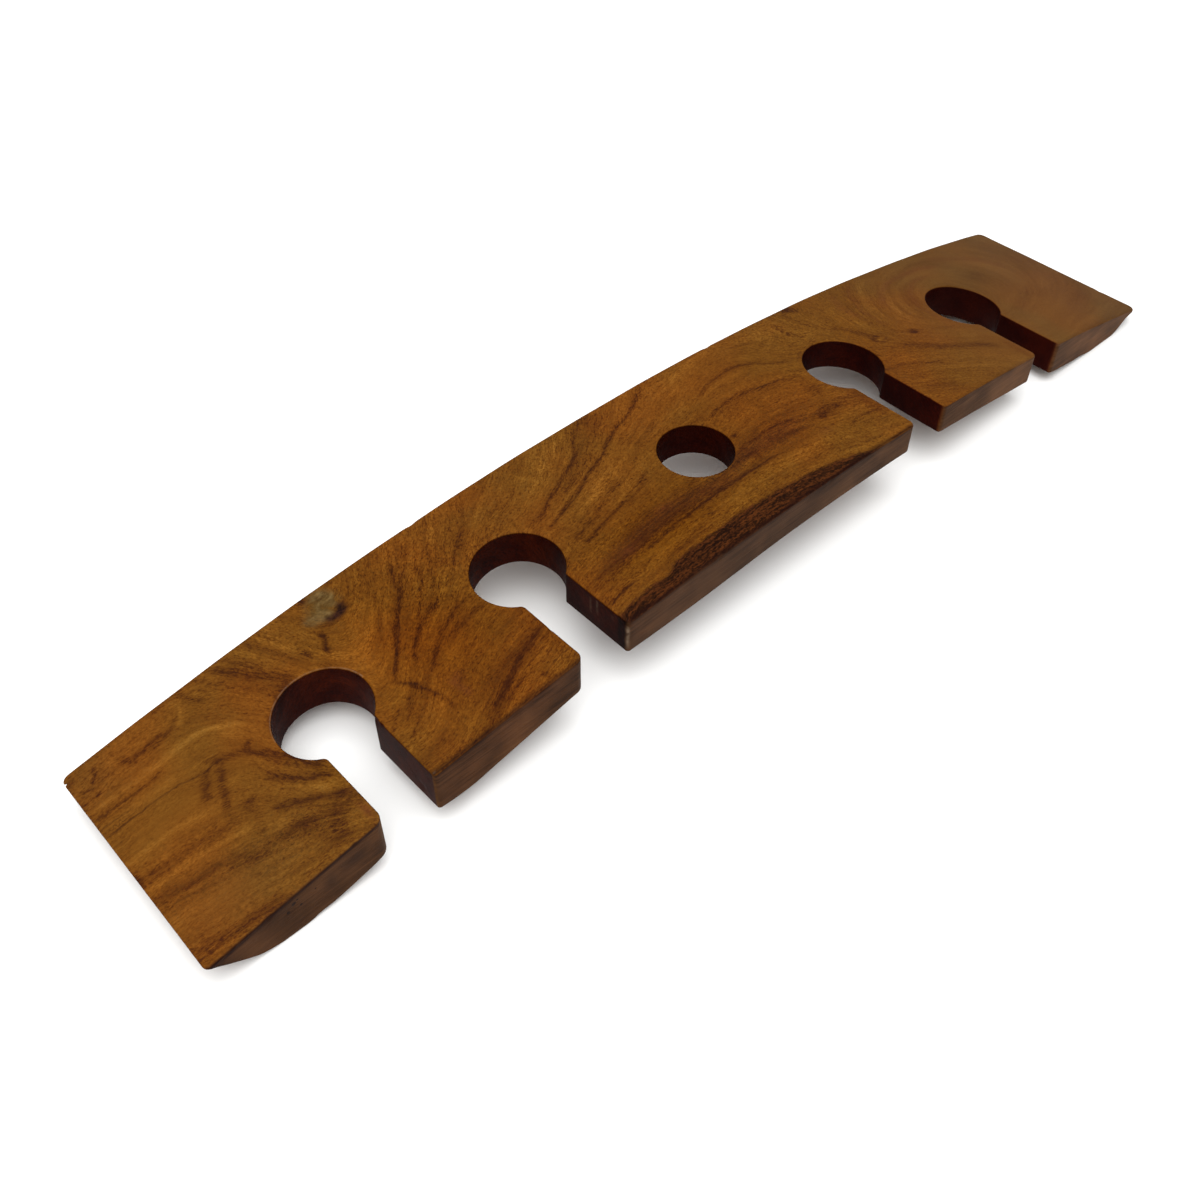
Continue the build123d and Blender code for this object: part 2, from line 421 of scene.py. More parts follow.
# Soft streaks: (points, half width mm, strength, channel) with channel
# 0 dark brown, 1 dark red, 2 pale.
STREAKS = [
    # second block: lines fanning out from the point of the V
    ([(-174, -9), (-165.5, 0), (-161.7, 6.3), (-155.5, 14), (-149, 21), (-145.5, 26), (-140, 40)], 1.1, 0.60, 0),
    ([(-163, -7.5), (-155.5, 0.8), (-152, 4), (-142, 8.5), (-133, 12)], 1.3, 0.52, 0),
    ([(-160, -16), (-153, -8), (-144.5, -2.5), (-135.5, 1.3), (-127.8, 3)], 1.2, 0.48, 0),
    ([(-168, 6), (-163, 14), (-158, 23), (-154, 33)], 1.0, 0.30, 0),
    ([(-158, 10), (-151, 18), (-145, 25), (-138, 34)], 0.9, 0.26, 0),
    ([(-151, 7), (-143, 14), (-136, 24), (-130, 36)], 0.9, 0.28, 0),
    ([(-142, 10), (-134, 17), (-128, 27), (-121, 38)], 0.9, 0.24, 0),
    ([(-132, 13), (-124, 19), (-116, 27), (-107, 33)], 0.9, 0.22, 0),
    ([(-155, -11), (-149, -8.5), (-142.2, -6.8), (-133.3, -4.6), (-122, -4.6)], 1.5, 0.24, 0),
    ([(-146.7, -18.1), (-140, -15.9), (-131, -13.7), (-122, -10.3)], 2.2, 0.20, 0),
    ([(-173.7, -9.2), (-170, -14.8), (-166.7, -22.5), (-165.5, -29), (-164.4, -34.8)], 1.0, 0.48, 0),
    ([(-172, -18), (-175.5, -22.5), (-180, -27)], 1.8, 0.34, 0),
    ([(-171, -25), (-179, -31), (-185, -35)], 0.8, 0.26, 0),
    ([(-177, -19), (-183, -22), (-188, -27)], 0.8, 0.24, 0),
    ([(-158.3, -23.7), (-157.5, -29), (-156.7, -34.8)], 1.6, 0.42, 1),
    ([(-157.8, -47), (-150, -43.7), (-144.4, -41.4), (-137.8, -38), (-131, -34.8), (-122, -31.4), (-116, -29)], 1.5, 0.46, 0),
    ([(-150, -43.7), (-146, -42), (-142, -40)], 1.7, 0.40, 0),
    ([(-140, -38.8), (-136, -37), (-132, -35)], 1.5, 0.40, 0),
    ([(-159, -51.4), (-151, -47.6), (-142.2, -45.0), (-133.3, -42)], 1.3, 0.30, 0),
    ([(-215, 48), (-210, 40), (-205, 31), (-200, 23)], 2.2, 0.30, 0),
    ([(-205, 50), (-201, 42), (-197, 33), (-194, 25)], 1.6, 0.20, 0),
    ([(-180.8, 31), (-180.2, 28), (-182.5, 25), (-183.8, 20.5)], 1.0, 0.45, 0),
    ([(-191.6, 30), (-189.4, 25)], 1.2, 0.40, 0),
    # centre-left: long lines rising to the rear edge
    ([(-80.6, 7.2), (-70.6, 11), (-59.4, 14.3), (-50.6, 18.3), (-46, 20.8), (-39.4, 23), (-32.8, 25.8), (-26, 30.2), (-18.3, 34), (-12.8, 36.3), (-7.2, 37.7), (0.6, 41.3), (5, 43.6), (10, 47.5), (14, 51)], 0.9, 0.56, 0),
    ([(-85, 14), (-76, 16.3), (-70, 20), (-61.7, 24), (-54, 27.7), (-47.2, 30.8), (-42.2, 33.6), (-37, 40.8), (-30.6, 46.3), (-24, 50.8)], 1.1, 0.52, 0),
    ([(-66, 17), (-54, 22), (-44, 27), (-34, 34), (-24, 40), (-14, 47)], 3.6, 0.26, 0),
    ([(-26, 46), (-18, 50)], 3.4, 0.30, 0),
    ([(-80.6, -5.9), (-72.8, -3.7), (-63.9, -0.9), (-55, 1.7), (-48.3, 4.1), (-39.4, 8.6)], 1.3, 0.26, 0),
    ([(-73.9, -9.2), (-66, -7), (-58.3, -5.3), (-50.6, -3.7), (-43.9, -1.4), (-37.2, 0.8), (-30.6, 3), (-23.9, 5.2)], 0.8, 0.50, 0),
    ([(-46, -4.2), (-37, -1.4), (-28, 1.6)], 0.6, 0.42, 0),
    ([(-26, 14), (-20, 17), (-14, 21)], 1.6, 0.16, 0),
    ([(-86, -27), (-79.4, -24.8), (-67.2, -23.7), (-56, -22.4), (-45, -20.1), (-32.8, -19), (-17.2, -21.3), (-6, -22.6), (4, -20.5), (15, -17), (26, -17), (38, -16), (50, -15)], 4.6, 0.22, 1),
    ([(-86, -29), (-72, -27), (-56, -25), (-40, -22.5), (-20, -23.5), (0, -23.5)], 3.0, 0.34, 0),
    ([(13, -13.7), (20, -12.3), (33, -11.4), (42, -12), (50, -13.7)], 1.4, 0.46, 0),
    ([(14, -20), (30, -17), (46, -18)], 4.0, 0.34, 0),
    ([(-60.6, -29.8), (-53.9, -29.2), (-39.4, -27.2), (-26, -26.4), (-17, -26.2), (0, -26), (15, -26.3), (24, -26.8)], 0.8, 0.50, 0),
    ([(-90.6, -41.4), (-82.8, -39.2), (-76, -38.7)], 0.9, 0.50, 0),
    ([(-78.3, -38.7), (-67.2, -35.9), (-58.3, -34.8)], 1.0, 0.30, 0),
    ([(-28.3, -32), (-22.8, -33.1)], 0.8, 0.40, 0),
    ([(-90, -31), (-80, -31), (-68, -29.5)], 1.4, 0.20, 0),
    # the arch right of the centre hole, and the line under it
    ([(25.6, 25.2), (33.3, 28), (37.8, 29.7), (46.7, 30.8), (55.6, 31.9), (62.2, 30.8), (68.9, 26.9), (75.6, 21.9), (82, 18.6)], 1.2, 0.34, 0),
    ([(18.9, 10.8), (26.7, 13.6), (40, 14.7), (48.9, 14.1), (57.8, 12.1), (66.7, 10.8), (72, 8), (80, 6.3)], 0.9, 0.42, 0),
    ([(30, 18), (42, 19.5), (54, 18.6)], 1.6, 0.30, 2),
    ([(26, 22.4), (38, 26), (50, 28), (60, 26)], 1.4, 0.30, 2),
    ([(66.7, -33.7), (77.8, -32.6), (90, -33.7)], 0.9, 0.34, 0),
    ([(62, -21.2), (68, -20.4), (76, -20)], 2.0, 0.26, 0),
    ([(46, -43), (60, -45.5), (74, -49)], 1.0, 0.20, 0),
    # right of the third keyhole
    ([(100, 42), (100.6, 34), (105, 27.4)], 1.7, 0.30, 0),
    ([(112, 44), (114, 36), (119, 28)], 1.6, 0.16, 0),
    ([(117, 48.6), (123, 45)], 2.2, 0.40, 0),
    ([(122.8, 26.3), (128.3, 18.6), (132.8, 11.9), (135, 4)], 2.6, 0.26, 0),
    ([(139.4, -2.6), (143.9, -9.2), (150.6, -13.7), (157, -20.3), (166, -24.8), (175, -29.2), (184, -35.9)], 2.4, 0.28, 0),
    ([(122.8, -15.9), (131.7, -20.3), (139.4, -25.9), (146, -29.2)], 0.9, 0.30, 0),
    ([(118, -38), (126, -39.5), (136, -44)], 3.0, 0.18, 0),
    ([(166, 20), (166, 24), (175, 33), (186, 37.4), (195, 38.6), (216, 39), (230, 35)], 2.2, 0.34, 1),
    ([(143.9, 23), (142.8, 34), (148.3, 46.3)], 2.4, 0.28, 1),
    ([(156, 14), (157, 28), (166, 41), (180, 48)], 1.6, 0.22, 2),
    ([(172, 8), (176, 22), (186, 31), (202, 35), (220, 33)], 2.0, 0.26, 2),
    ([(180, -4), (181, 12), (188, 24), (202, 31), (218, 31)], 1.4, 0.30, 1),
    ([(150, 10), (150, 26), (157, 40), (168, 50)], 1.4, 0.26, 1),
    ([(165, 2), (166, 14), (170, 24)], 1.6, 0.24, 2),
    ([(228, 44), (246, 38), (262, 28), (270, 14)], 3.0, 0.20, 1),
    ([(226, -20), (240, -14), (256, -8)], 4.0, 0.12, 0),
    ([(-246, 13), (-249, 8), (-252, 3), (-252, 0)], 2.2, 0.42, 0),
    ([(-240, 13), (-243, 7), (-246, 1), (-248, -5), (-250, -8)], 1.9, 0.40, 0),
    ([(-246, 18), (-243, 15), (-239, 12), (-235, 9)], 1.8, 0.25, 0),
    ([(-238, 12), (-232, 8), (-227, 2), (-222, -4), (-217, -12), (-213, -18)], 1.5, 0.45, 0),
    ([(-232, -7), (-227, -13), (-221, -19), (-213, -25)], 1.6, 0.45, 0),
    ([(-229, 1), (-225, -6), (-220, -13), (-214, -20)], 1.0, 0.3, 0),
    ([(-238, -19.5), (-229, -25), (-222, -29), (-214, -35)], 1.5, 0.45, 0),
    ([(-288, 25.8), (-279, 25), (-270, 24.5), (-258, 24.2)], 1.0, 0.36, 0),
    ([(-288, 29.8), (-265, 28.8), (-250, 28.4), (-242, 28.4), (-236, 27), (-230, 23.5), (-224, 17)], 1.3, 0.75, 2),
    ([(-288, 20.5), (-270, 19.5), (-254, 18.5)], 1.8, 0.35, 2),
    ([(-288, 1.5), (-270, 0.5), (-262, -1), (-254, -4)], 1.2, 0.35, 2),
    ([(-288, -12), (-270, -15), (-258, -17), (-246, -20)], 1.2, 0.4, 2),
    ([(-288, -8), (-272, -11), (-258, -13), (-246, -15)], 3.2, 0.22, 0),
    ([(-288, -20), (-275, -23), (-262, -27), (-250, -31), (-238, -33), (-226, -35), (-213, -39)], 3.0, 0.22, 0),
    ([(-262, -28), (-254, -31), (-247, -33)], 0.8, 0.5, 0),
    ([(-288, -47), (-276, -48), (-266, -50), (-254, -52)], 2.4, 0.40, 0),
    ([(-235, -30), (-230, -40), (-228, -48)], 3.5, 0.22, 0),
    ([(-222, -36), (-224, -44), (-228, -50)], 3.2, 0.28, 0),
    ([(-243, -8), (-243, -16), (-246, -26)], 2.4, 0.2, 0),
    ([(-267, 42), (-265, 37.5), (-258, 38), (-250, 39)], 1.2, 0.45, 0),
    ([(-256, 35), (-248, 37.5), (-242, 41)], 1.0, 0.3, 0),
    ([(-276, 47), (-277, 43), (-280, 40)], 1.0, 0.45, 0),
    ([(-240, 49), (-238.5, 44), (-241, 40), (-243, 37)], 1.0, 0.4, 2),
    ([(-236, 51), (-234, 44), (-230, 39)], 1.2, 0.3, 0),
    ([(-228, 51), (-225, 45), (-220, 40)], 1.0, 0.25, 0),
    ([(-221, 6), (-216, 14), (-208, 20), (-200, 22.5)], 1.4, 0.3, 0),
    ([(-219, 2), (-221, -6), (-217, -14), (-213, -18.5)], 1.2, 0.45, 0),
    ([(-222, 50), (-217, 44), (-212, 36), (-206, 28), (-201, 21)], 1.6, 0.4, 0),
]
fig = np.zeros((len(V), 4))
for pts, hw, st, ch in STREAKS:
    d, a = to_line(x, y, pts)
    g = np.exp(-((d / hw) ** 2)) * st * np.clip(np.minimum(a, 1 - a) * 7 + 0.35, 0, 1)
    c = {0: 0, 1: 1, 2: 3}[ch]
    fig[:, c] = 1 - (1 - fig[:, c]) * (1 - g)
for cx, cy, rx, ry, deg, st in (
    (-176.6, 50.4, 1.6, 1.7, 0, 0.75), (-228.8, 10.3, 1.3, 1.0, 30, 0.8),
    (-181, 30, 1.0, 2.8, -12, 0.6), (-183, 23.5, 1.2, 3.2, -14, 0.6), (-190.4, 28, 1.5, 4.0, 20, 0.45),
    (132.6, 4.2, 1.3, 2.0, 10, 0.62), (136.4, 6.0, 3.0, 0.8, -14, 0.50), (136.0, 0.4, 3.0, 0.8, -14, 0.50), (139.6, 2.4, 0.8, 1.8, 0, 0.45),
    (156.7, -2.2, 2.3, 1.9, 0, 0.80), (62.2, -21.2, 2.4, 3.0, 0, 0.48), (20, -4.8, 1.6, 1.2, 0, 0.6), (240, 16, 11, 8, 20, 0.16), (262, -14, 12, 6, 20, 0.12), (74.4, -5.9, 3.6, 4.4, 0, 0.22), (42, 24.3, 2.6, 0.6, 0, 0.35), (59.4, 23.2, 2.0, 0.6, 0, 0.35), (-169, -16, 1.5, 2.5, 0, 0.55), (-131, -48, 1.3, 1.0, 0, 0.6),
    (117, 50.5, 3.2, 2.2, 0, 0.8), (-287.6, -7, 1.5, 4.0, 0, 0.7), (-282.8, 39.4, 1.5, 0.6, -30, 0.6),
    (-286, 35, 0.9, 0.6, 0, 0.6), (-280, 34.7, 1.2, 0.5, 0, 0.6), (-274, 28.8, 1.0, 0.5, 0, 0.4), (-247, 50, 3, 1.0, 0, 0.4),
    (-255.5, -38, 1.6, 0.7, -25, 0.5), (-241, -10.5, 3.0, 0.9, 0, 0.35), (-285.5, 47.0, 2.0, 1.2, 30, 0.35),
):
    fig[:, 0] = 1 - (1 - fig[:, 0]) * (1 - st * blob(x, y, cx, cy, rx, ry, deg))
for cx, cy, rx, ry, deg, st in ((-214, -46, 1.4, 4.0, 0, 0.85), (-155, -25, 1.8, 2.6, -10, 0.35), (90, -20, 9, 12, 0, 0.12), (-65, -25, 4, 2.2, 0, 0.35), (-37, -17, 4, 2.2, 0, 0.35), (54.4, -29.2, 5, 2.6, 0, 0.25), (-170.5, 33.6, 2.4, 1.0, 0, 0.7)):
    fig[:, 1] = 1 - (1 - fig[:, 1]) * (1 - st * blob(x, y, cx, cy, rx, ry, deg))
fig[:, 2] = np.clip(1.25 * blob(x, y, -171.5, 42.2, 7.0, 4.8, 8) + 0.7 * blob(x, y, -171.5, 48.5, 5.5, 3.5, 0) + 0.45 * blob(x, y, -180.5, 38.5, 4.0, 4.0, 40) + 0.5 * blob(x, y, -173.5, 36, 3.5, 2.0, 0), 0, 1)
for cx, cy, rx, ry, deg, st in ((-173, 5, 9, 14, 0, 0.35), (-165, 26, 9, 7, 0, 0.3), (5, -33, 42, 4.0, 0, 0.5), (-55, -33, 24, 4, 4, 0.4), (20, 22, 26, 7, 12, 0.2), (-218, -27, 6, 3.5, -35, 0.6), (-130, -18, 14, 9, 20, 0.25), (-192, 30, 2.0, 6, 10, 0.3), (-170, -32, 9, 8, 0, 0.2), (136.2, 3.2, 1.6, 1.2, 0, 0.5), (-167, -45, 9, 4, 15, 0.4), (-150, -15, 7, 4, 20, 0.3), (-178, 10, 6, 8, -30, 0.35), (-60, 8, 20, 2.2, 18, 0.3), (-44, 14, 14, 2.0, 25, 0.3)):
    fig[:, 3] = 1 - (1 - fig[:, 3]) * (1 - st * blob(x, y, cx, cy, rx, ry, deg))
# the dark band along the front edge, over the middle blocks
_bx = [-93, -84, -73, -62, -56, -45, -28, -12, 0, 7, 13, 24, 33, 40, 47, 53, 59, 70]
_by = [-47, -46, -44.8, -45.3, -42.4, -41.4, -41.2, -40.9, -42, -41.7, -43, -43.7, -44.6, -45.9, -47.6, -49.2, -51.4, -54]
front_band = np.clip((np.interp(x, _bx, _by) + 1.4 - y) / 3.4, 0, 1) * (x > -96) * (x < 70)

# where each point lies: walls of the holes, front face, underside, pore-rich wood
kv = np.zeros((len(V), 3))
polys = [(f, k) for f, k in zip(faces, kind)]
for f, k in polys:
    for i in f:
        kv[i, k] += 1
kv /= np.maximum(kv.sum(1, keepdims=True), 1)
cut = np.zeros(len(V))
for cx, nx, w in SLOTS:
    cut = np.maximum(cut, (np.hypot(x - cx, y) < KEY_R + 0.3) * 1.0)
    cut = np.maximum(cut, ((np.abs(x - nx) < w / 2 + 6.0) & (y < 0)) * 1.0)
cut = np.maximum(cut, (np.hypot(x, y) < HOLE_R + 0.3) * 1.0)
skin = np.clip((depth - 0.30) / 0.45, 0, 1)
faces_front = np.clip((Y_FRONT + 1.9 - y) / 1.5, 0, 1)
beneath = np.clip(1.6 * kv[:, 2], 0, 1)          # the underside keeps the board's own figure
front = skin * faces_front * (1 - beneath)
wall = skin * cut * (1 - faces_front) * (1 - beneath)
# a dark line runs along the front arris, on its top side over the middle blocks
# and below it on the left block
left_w = np.clip((-205 - x) / 8, 0, 1)
on_top = np.clip(1.5 - np.abs(y - (Y_FRONT + 0.85 + 0.35 * np.sin(x / 8.0))) / 0.95, 0, 1) * np.clip(1.3 - depth / 0.7, 0, 1)
below = np.clip(1.5 - np.abs(depth - (1.0 + 0.5 * left_w)) / (0.9 + 0.7 * left_w * np.clip((-250 - x) / 30, 0, 1)), 0, 1) * np.clip((Y_FRONT + 0.9 - y) / 0.6, 0, 1)
right_w = np.clip((x - 95) / 20, 0, 1)
edge = np.maximum(below * (0.55 + 0.45 * left_w) * (1 - 0.75 * right_w), on_top * (1 - left_w) * (1 - 0.8 * right_w))
edge = np.maximum(edge, 1.0 * blob(x, y + 0 * x, X_LEFT + 3, Y_FRONT, 7, 1.6) * np.clip(depth / 0.5, 0, 1))
# rubbed, paler wood: the arris round the first keyhole, and scrapes at the second slot
rub_and_highlight = 0.42 * np.clip(1 - np.abs(np.hypot(x - SLOTS[0][0], y) - KEY_R - 0.25) / 0.4, 0, 1) * np.clip(1 - depth / 0.5, 0, 1) * (y > 2)
for (ax, ay, ad), (bx, by, bd), hw in (
    ((-92.2, -53.0, 4.0), (-92.2, -53.0, 9.0), 0.45), ((-92.2, -53.0, 11.0), (-92.2, -53.0, 15.5), 0.45),
    ((-92.4, -35.0, 2.2), (-92.4, -34.7, 8.5), 0.22), ((-92.4, -30.8, 3.0), (-92.4, -31.1, 10.5), 0.2), ((-92.4, -44.4, 3.0), (-92.4, -44.0, 5.0), 0.2),
):
    p0, p1 = np.array([ax, ay, ad]), np.array([bx, by, bd])
    q_ = np.column_stack([x, y, depth])
    t_ = np.clip(((q_ - p0) @ (p1 - p0)) / ((p1 - p0) @ (p1 - p0)), 0, 1)
    rub_and_highlight = np.maximum(rub_and_highlight, 0.95 * np.exp(-(np.linalg.norm(q_ - p0 - t_[:, None] * (p1 - p0), axis=1) / hw / 2.0) ** 2))
# painted highlight: a pale line along the front arris, added to the rubbed wood; then stains and worm pits in the front
# face
glint = np.clip(1 - np.abs(y - (Y_FRONT + 1.45)) / 0.55, 0, 1) * np.clip(1 - depth / 0.4, 0, 1)
glint *= np.clip(blob(x, y, -155, Y_FRONT, 34, 9) + blob(x, y, -42, Y_FRONT, 42, 9), 0, 1)
rub_and_highlight = np.maximum(rub_and_highlight, 0.30 * glint)
heart = np.clip(1.5 * blob(x, y, -170.8, 34.2, 3.6, 1.7, 6) + 1.5 * blob(x, y, -167.0, 36.2, 1.7, 2.4, -24) + 0.6 * blob(x, y, -174.2, 35.6, 1.8, 1.5, -20), 0, 1)
pit = np.zeros(len(V))
for cx, cd_, rx, rd, st in ((-226, 9.0, 5.5, 4.0, 0.62), (-237, 10.5, 2.6, 4.5, 0.50), (-215, 15.0, 4.0, 4.0, 0.50), (-262, 4.0, 5.0, 2.0, 0.30),
                            (-148, 3.5, 2.5, 1.5, 0.3), (-20, 6, 9, 1.6, 0.35), (-60, 9, 12, 1.5, 0.35), (30, 5, 10, 1.2, 0.3), (75, 9, 8, 1.4, 0.25)):
    pit = np.maximum(pit, st * np.exp(-(((x - cx) / rx) ** 2 + ((depth - cd_) / rd) ** 2)) * faces_front)
pore = np.clip(0.25 + 0.8 * blob(x, y, 32, -14, 26, 9) + 0.6 * blob(x, y, -45, -23, 46, 6, 3) + 0.8 * blob(x, y, -248, -32, 52, 10, -14) + 0.5 * blob(x, y, 0, -20, 90, 5, 0) + 0.5 * blob(x, y, -45, 30, 22, 6, 32) + 0.4 * blob(x, y, -140, -40, 22, 6, 22) + 0.3 * blob(x, y, -265, -50, 30, 5, -8), 0, 1)


def attr(name, data, kind_="FLOAT_COLOR"):
    a_ = me.attributes.new(name, kind_, "POINT")
    key = {"FLOAT_COLOR": "color", "FLOAT_VECTOR": "vector", "FLOAT": "value"}[kind_]
    a_.data.foreach_set(key, np.ascontiguousarray(data, dtype=np.float32).ravel())


THIN = [
    ([(-288, 16.3), (-270, 16), (-264, 15.6), (-257, 14.8), (-253, 13.4), (-248, 12), (-242, 12.7), (-238, 11.5)], 0.95),
    ([(-288, 20.6), (-281, 20.4), (-274, 20.0)], 0.6),
    ([(-288, 26), (-278, 25), (-266, 24.4)], 0.55),
    ([(-172, -6), (-166, 0.6), (-160, 7), (-155, 12)], 0.7),
    ([(-173.6, -10), (-169.2, -16), (-166.6, -22.6), (-165, -28)], 0.6),
    ([(-171, -13), (-168, -17.5)], 0.9),
    ([(-147, -41.4), (-140, -38.7), (-133.5, -35.6)], 0.8),
    ([(-132.4, -48.9), (-127.8, -47), (-122.2, -45.7), (-115.6, -45.2)], 1.0),
    ([(-80, 7.5), (-72.8, 9.7), (-66, 11.9), (-58.3, 14.1), (-52.8, 16.9), (-46, 20.2)], 0.7),
    ([(-39.4, 23), (-32.8, 25.8), (-27.2, 29.1), (-21.7, 31.9), (-17.2, 34.7), (-10.6, 36.3), (-2.8, 39.1)], 0.8),
    ([(-54, 27.6), (-46, 31.3), (-42.2, 34.3)], 0.7),
    ([(-50.6, -3.7), (-43.9, -2)], 0.9),
    ([(-37, 0.6), (-29.4, 3), (-26, 4.1)], 0.7),
    ([(-66, -7), (-58.3, -5.3)], 0.5),
    ([(-60, -29.8), (-50.6, -29), (-40, -28.4)], 0.6),
    ([(-33, -27.6), (-24, -26.8), (-15, -26.1), (-6, -26.1), (5, -25.7), (13, -26.1), (21, -25.9), (28, -27)], 0.8),
    ([(-90, -41.4), (-86, -40.3), (-79.4, -39.2), (-73, -39)], 0.95),
    ([(-28.5, -31.6), (-24, -33), (-21, -34)], 0.6),
    ([(50, 14.1), (57.8, 12.1), (66.7, 10.8)], 0.6),
    ([(41, 24.4), (46.5, 24.3)], 0.4), ([(58, 23), (61, 23)], 0.5),
    ([(82, -40), (86, -40.4)], 1.0), ([(-117, -24), (-116, -26)], 0.9),
    ([(-282.4, 40), (-280.4, 38.4)], 0.7), ([(-265, 36.5), (-258, 38.2)], 0.5),
    ([(-238, -20), (-229, -25.5), (-222, -29.4), (-214, -35)], 0.45),
    ([(-282, -24.5), (-272, -27.5), (-264, -30)], 0.45), ([(-258, -32), (-250, -35)], 0.4),
    ([(-277, -49), (-268, -50.6)], 0.5),
    ([(-219.5, 1), (-221, -7), (-216.8, -14.5), (-213, -18.6)], 0.5),
    ([(-181, 31), (-180.4, 28), (-182.6, 25), (-184, 20.5)], 0.7),
]
def side_of(x, y, pts):
    """Which side of a polyline a point lies on, +1 or -1."""
    pts = np.array(pts, float)
    best, side = np.full(len(x), 1e9), np.ones(len(x))
    for a, b in zip(pts[:-1], pts[1:]):
        L = np.linalg.norm(b - a)
        u = (b - a) / L
        t = np.clip((x - a[0]) * u[0] + (y - a[1]) * u[1], 0, L)
        d = np.hypot(x - a[0] - t * u[0], y - a[1] - t * u[1])
        s_ = np.where(u[0] * (y - a[1]) - u[1] * (x - a[0]) >= 0, 1.0, -1.0)
        m = d < best - 1e-9
        best[m], side[m] = d[m], s_[m]
    return side


# signed distance to the nearest thin line, so that the line stays crisp between points
thin = np.full(len(V), 50.0)
amount = np.zeros(len(V))
for pts, st in THIN:
    d, a = to_line(x, y, pts)
    m_ = d < np.abs(thin)
    thin[m_] = (d * side_of(x, y, pts))[m_]
    amount[m_] = (st * np.clip(np.minimum(a, 1 - a) * 8 + 0.15, 0, 1) * np.clip((3.0 - d) / 1.0, 0, 1) * np.clip(1 - depth / 0.8, 0, 1))[m_]

attr("grain", np.column_stack([ring + 0.75 * depth * 2 ** level, x, y]), "FLOAT_VECTOR")
attr("level", level, "FLOAT")
attr("figure", fig)
_sx = [-250, -150, -30, 110, 250]
tint = np.column_stack([np.interp(x, _sx, c_) for c_ in (
    [0.85, 1.05, 0.75, 1.10, 1.05],
    [0.75, 0.90, 0.75, 1.05, 0.95],
    [0.60, 0.70, 0.75, 0.95, 0.75])])
_wx = [-200, -50, 110, 205]
wtint = np.column_stack([np.interp(x, _wx, c_) for c_ in (
    [1.50, 1.05, 0.85, 1.10],
    [1.50, 1.00, 0.50, 0.65],
    [0.65, 0.60, 0.40, 0.60])])
tint = 1 + (tint - 1) * front[:, None] + (wtint - 1) * wall[:, None]
attr("tint", np.column_stack([tint, np.ones(len(V))]))
attr("zone", np.column_stack([wall, front, kv[:, 2], pore]))
attr("marks", np.column_stack([thin, amount, front_band]), "FLOAT_VECTOR")


def ramp_to(v, a_, b_):
    v = np.clip((v - a_) / (b_ - a_), 0, 1)
    return v * v * (3 - 2 * v)


# slow drifts of colour over the board: pinkish brown at the right end and in the
# lower left corner, deeper orange over the second block, calmer figure to the right
pink = np.clip(ramp_to(x, 120, 235) + 0.35 * blob(x, y, -262, -38, 26, 14) + 0.3 * blob(x, y, -282, 44, 16, 12), 0, 1)
deep = np.clip(0.9 * blob(x, y, -150, -5, 42, 60) + 1.0 * blob(x, y, -50, -24, 44, 20) + 0.50 * blob(x, y, 40, -5, 70, 45) + 0.25 * blob(x, y, 140, 0, 30, 60), 0, 1)
calm = np.clip(-0.35 * blob(x, y, -135, 22, 32, 24) - 0.35 * blob(x, y, 5, -18, 85, 6) - 0.3 * blob(x, y, -240, -34, 32, 7, -10) + 0.75 * ramp_to(x, 95, 215) + 0.35 * blob(x, y, 60, 30, 40, 20) + 0.4 * blob(x, y, -270, -36, 18, 8) + 0.35 * blob(x, y, -262, 6, 30, 6) + 0.40 * blob(x, y, -252, 14, 46, 36), -0.4, 0.85)
attr("drift", np.column_stack([pink, deep, calm, edge]))
# the first channel holds the rubbed wood together with the painted highlight along the front arris
attr("wear_and_highlight", np.column_stack([rub_and_highlight, pit, heart]), "FLOAT_VECTOR")

# ----------------------------------------------------------------- material
mat = bpy.data.materials.new("board_wood")
mat.use_nodes = True
nt = mat.node_tree
bsdf = nt.nodes["Principled BSDF"]


def put(sock, val):
    if isinstance(val, bpy.types.NodeSocket):
        nt.links.new(val, sock)
    elif val is not None:
        sock.default_value = val


def attribute(name):
    n = nt.nodes.new("ShaderNodeAttribute")
    n.attribute_type = "GEOMETRY"
    n.attribute_name = name
    return n


def math_(op, a, b=None, c=None, clamp=False):
    n = nt.nodes.new("ShaderNodeMath")
    n.operation = op
    n.use_clamp = clamp
    put(n.inputs[0], a)
    put(n.inputs[1], b)
    put(n.inputs[2], c)
    return n.outputs[0]


def scale_vec(v, k, shift=(0, 0, 0)):
    n = nt.nodes.new("ShaderNodeVectorMath")
    n.operation = "MULTIPLY_ADD"
    put(n.inputs[0], v)
    n.inputs[1].default_value = k
    n.inputs[2].default_value = shift
    return n.outputs[0]


def noise(v, scale=1.0, detail=3.0, rough=0.55, dist=0.0):
    n = nt.nodes.new("ShaderNodeTexNoise")
    n.noise_dimensions = "3D"
    put(n.inputs["Vector"], v)
    n.inputs["Scale"].default_value = scale
    n.inputs["Detail"].default_value = detail
    n.inputs["Roughness"].default_value = rough
    n.inputs["Distortion"].default_value = dist
    return n.outputs[0]


def span(v, a, b, lo=0.0, hi=1.0, smooth=True):
    n = nt.nodes.new("ShaderNodeMapRange")
    n.interpolation_type = "SMOOTHSTEP" if smooth else "LINEAR"
    n.clamp = True
    put(n.inputs[0], v)
    for i, k in zip((1, 2, 3, 4), (a, b, lo, hi)):
        n.inputs[i].default_value = k
    return n.outputs[0]


def mix(fac, a, b, mode="MIX"):
    n = nt.nodes.new("ShaderNodeMix")
    n.data_type = "RGBA"
    n.blend_type = mode
    n.clamp_factor = True
    put(n.inputs[0], fac)
    for i, c in ((6, a), (7, b)):
        if isinstance(c, tuple):
            n.inputs[i].default_value = (*c, 1) if len(c) == 3 else c
        else:
            put(n.inputs[i], c)
    return n.outputs[2]


